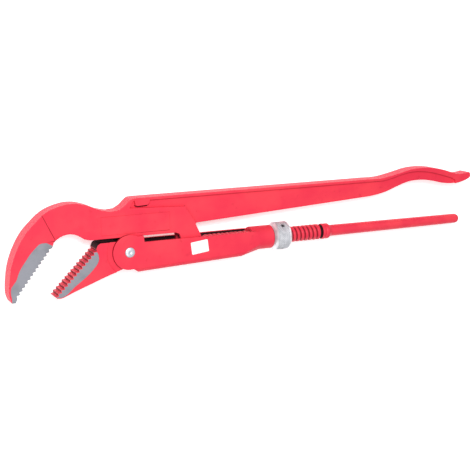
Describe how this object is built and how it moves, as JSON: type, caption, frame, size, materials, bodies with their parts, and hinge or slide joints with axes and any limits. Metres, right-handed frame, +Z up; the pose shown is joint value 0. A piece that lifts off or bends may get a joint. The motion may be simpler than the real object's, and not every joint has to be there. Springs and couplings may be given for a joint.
{
  "type": "pipe wrench",
  "caption": "Two-handled pipe wrench with a fixed hook jaw, a pinned lower jaw in a sliding yoke and a knurled adjusting nut on a threaded rod handle.",
  "frame": {"origin": "on the surface the wrench lies on, under the middle of its length and height", "axes": "+X along the rod towards the handle tips, +Y from the rod handle towards the upper handle, +Z up through the thickness as it lies on its side"},
  "size_m": [0.4317, 0.0824, 0.024],
  "materials": {
    "red_paint": "satin powder coat",
    "ground_steel": "ground and hardened jaw faces",
    "zinc_plate": "knurled, zinc plated",
    "bright_steel": "bright",
    "label_white": "plain"
  },
  "bodies": {
    "upper": {"upper_leg": "red_paint", "handle_hinge_pin": "bright_steel"},
    "rod": {"threaded_rod": "red_paint"},
    "yoke": {"yoke": "red_paint", "jaw_pin": "bright_steel", "nut_retaining_ring": "bright_steel", "blank_label": "label_white"},
    "nut": {"adjusting_nut": "zinc_plate"},
    "jaw": {"lower_jaw": "red_paint", "guide_pin": "bright_steel"}
  },
  "joints": [
    {"name": "handle_hinge", "type": "hinge", "parent": "upper", "child": "rod", "pos_m": [-0.0632, -0.0092, 0.012], "axis": [0, 0, 1], "range_deg": [-2, 3]},
    {"name": "yoke_slide", "type": "slide", "parent": "rod", "child": "yoke", "axis": [1, 0, 0], "range_m": [-0.014, 0.024]},
    {"name": "nut_turn", "type": "hinge", "parent": "yoke", "child": "nut", "pos_m": [0.02, -0.0092, 0.012], "axis": [1, 0, 0], "range_deg": [-1260, 2160]},
    {"name": "jaw_swing", "type": "hinge", "parent": "yoke", "child": "jaw", "pos_m": [-0.1175, -0.0092, 0.012], "axis": [0, 0, 1], "range_deg": [-10.5, 7]}
  ],
  "couplings": [
    {"joint": "nut_turn", "follows": "yoke_slide", "rad_per_m": 1570.8},
    {"joint": "jaw_swing", "follows": "handle_hinge", "ratio": -3.5}
  ]
}
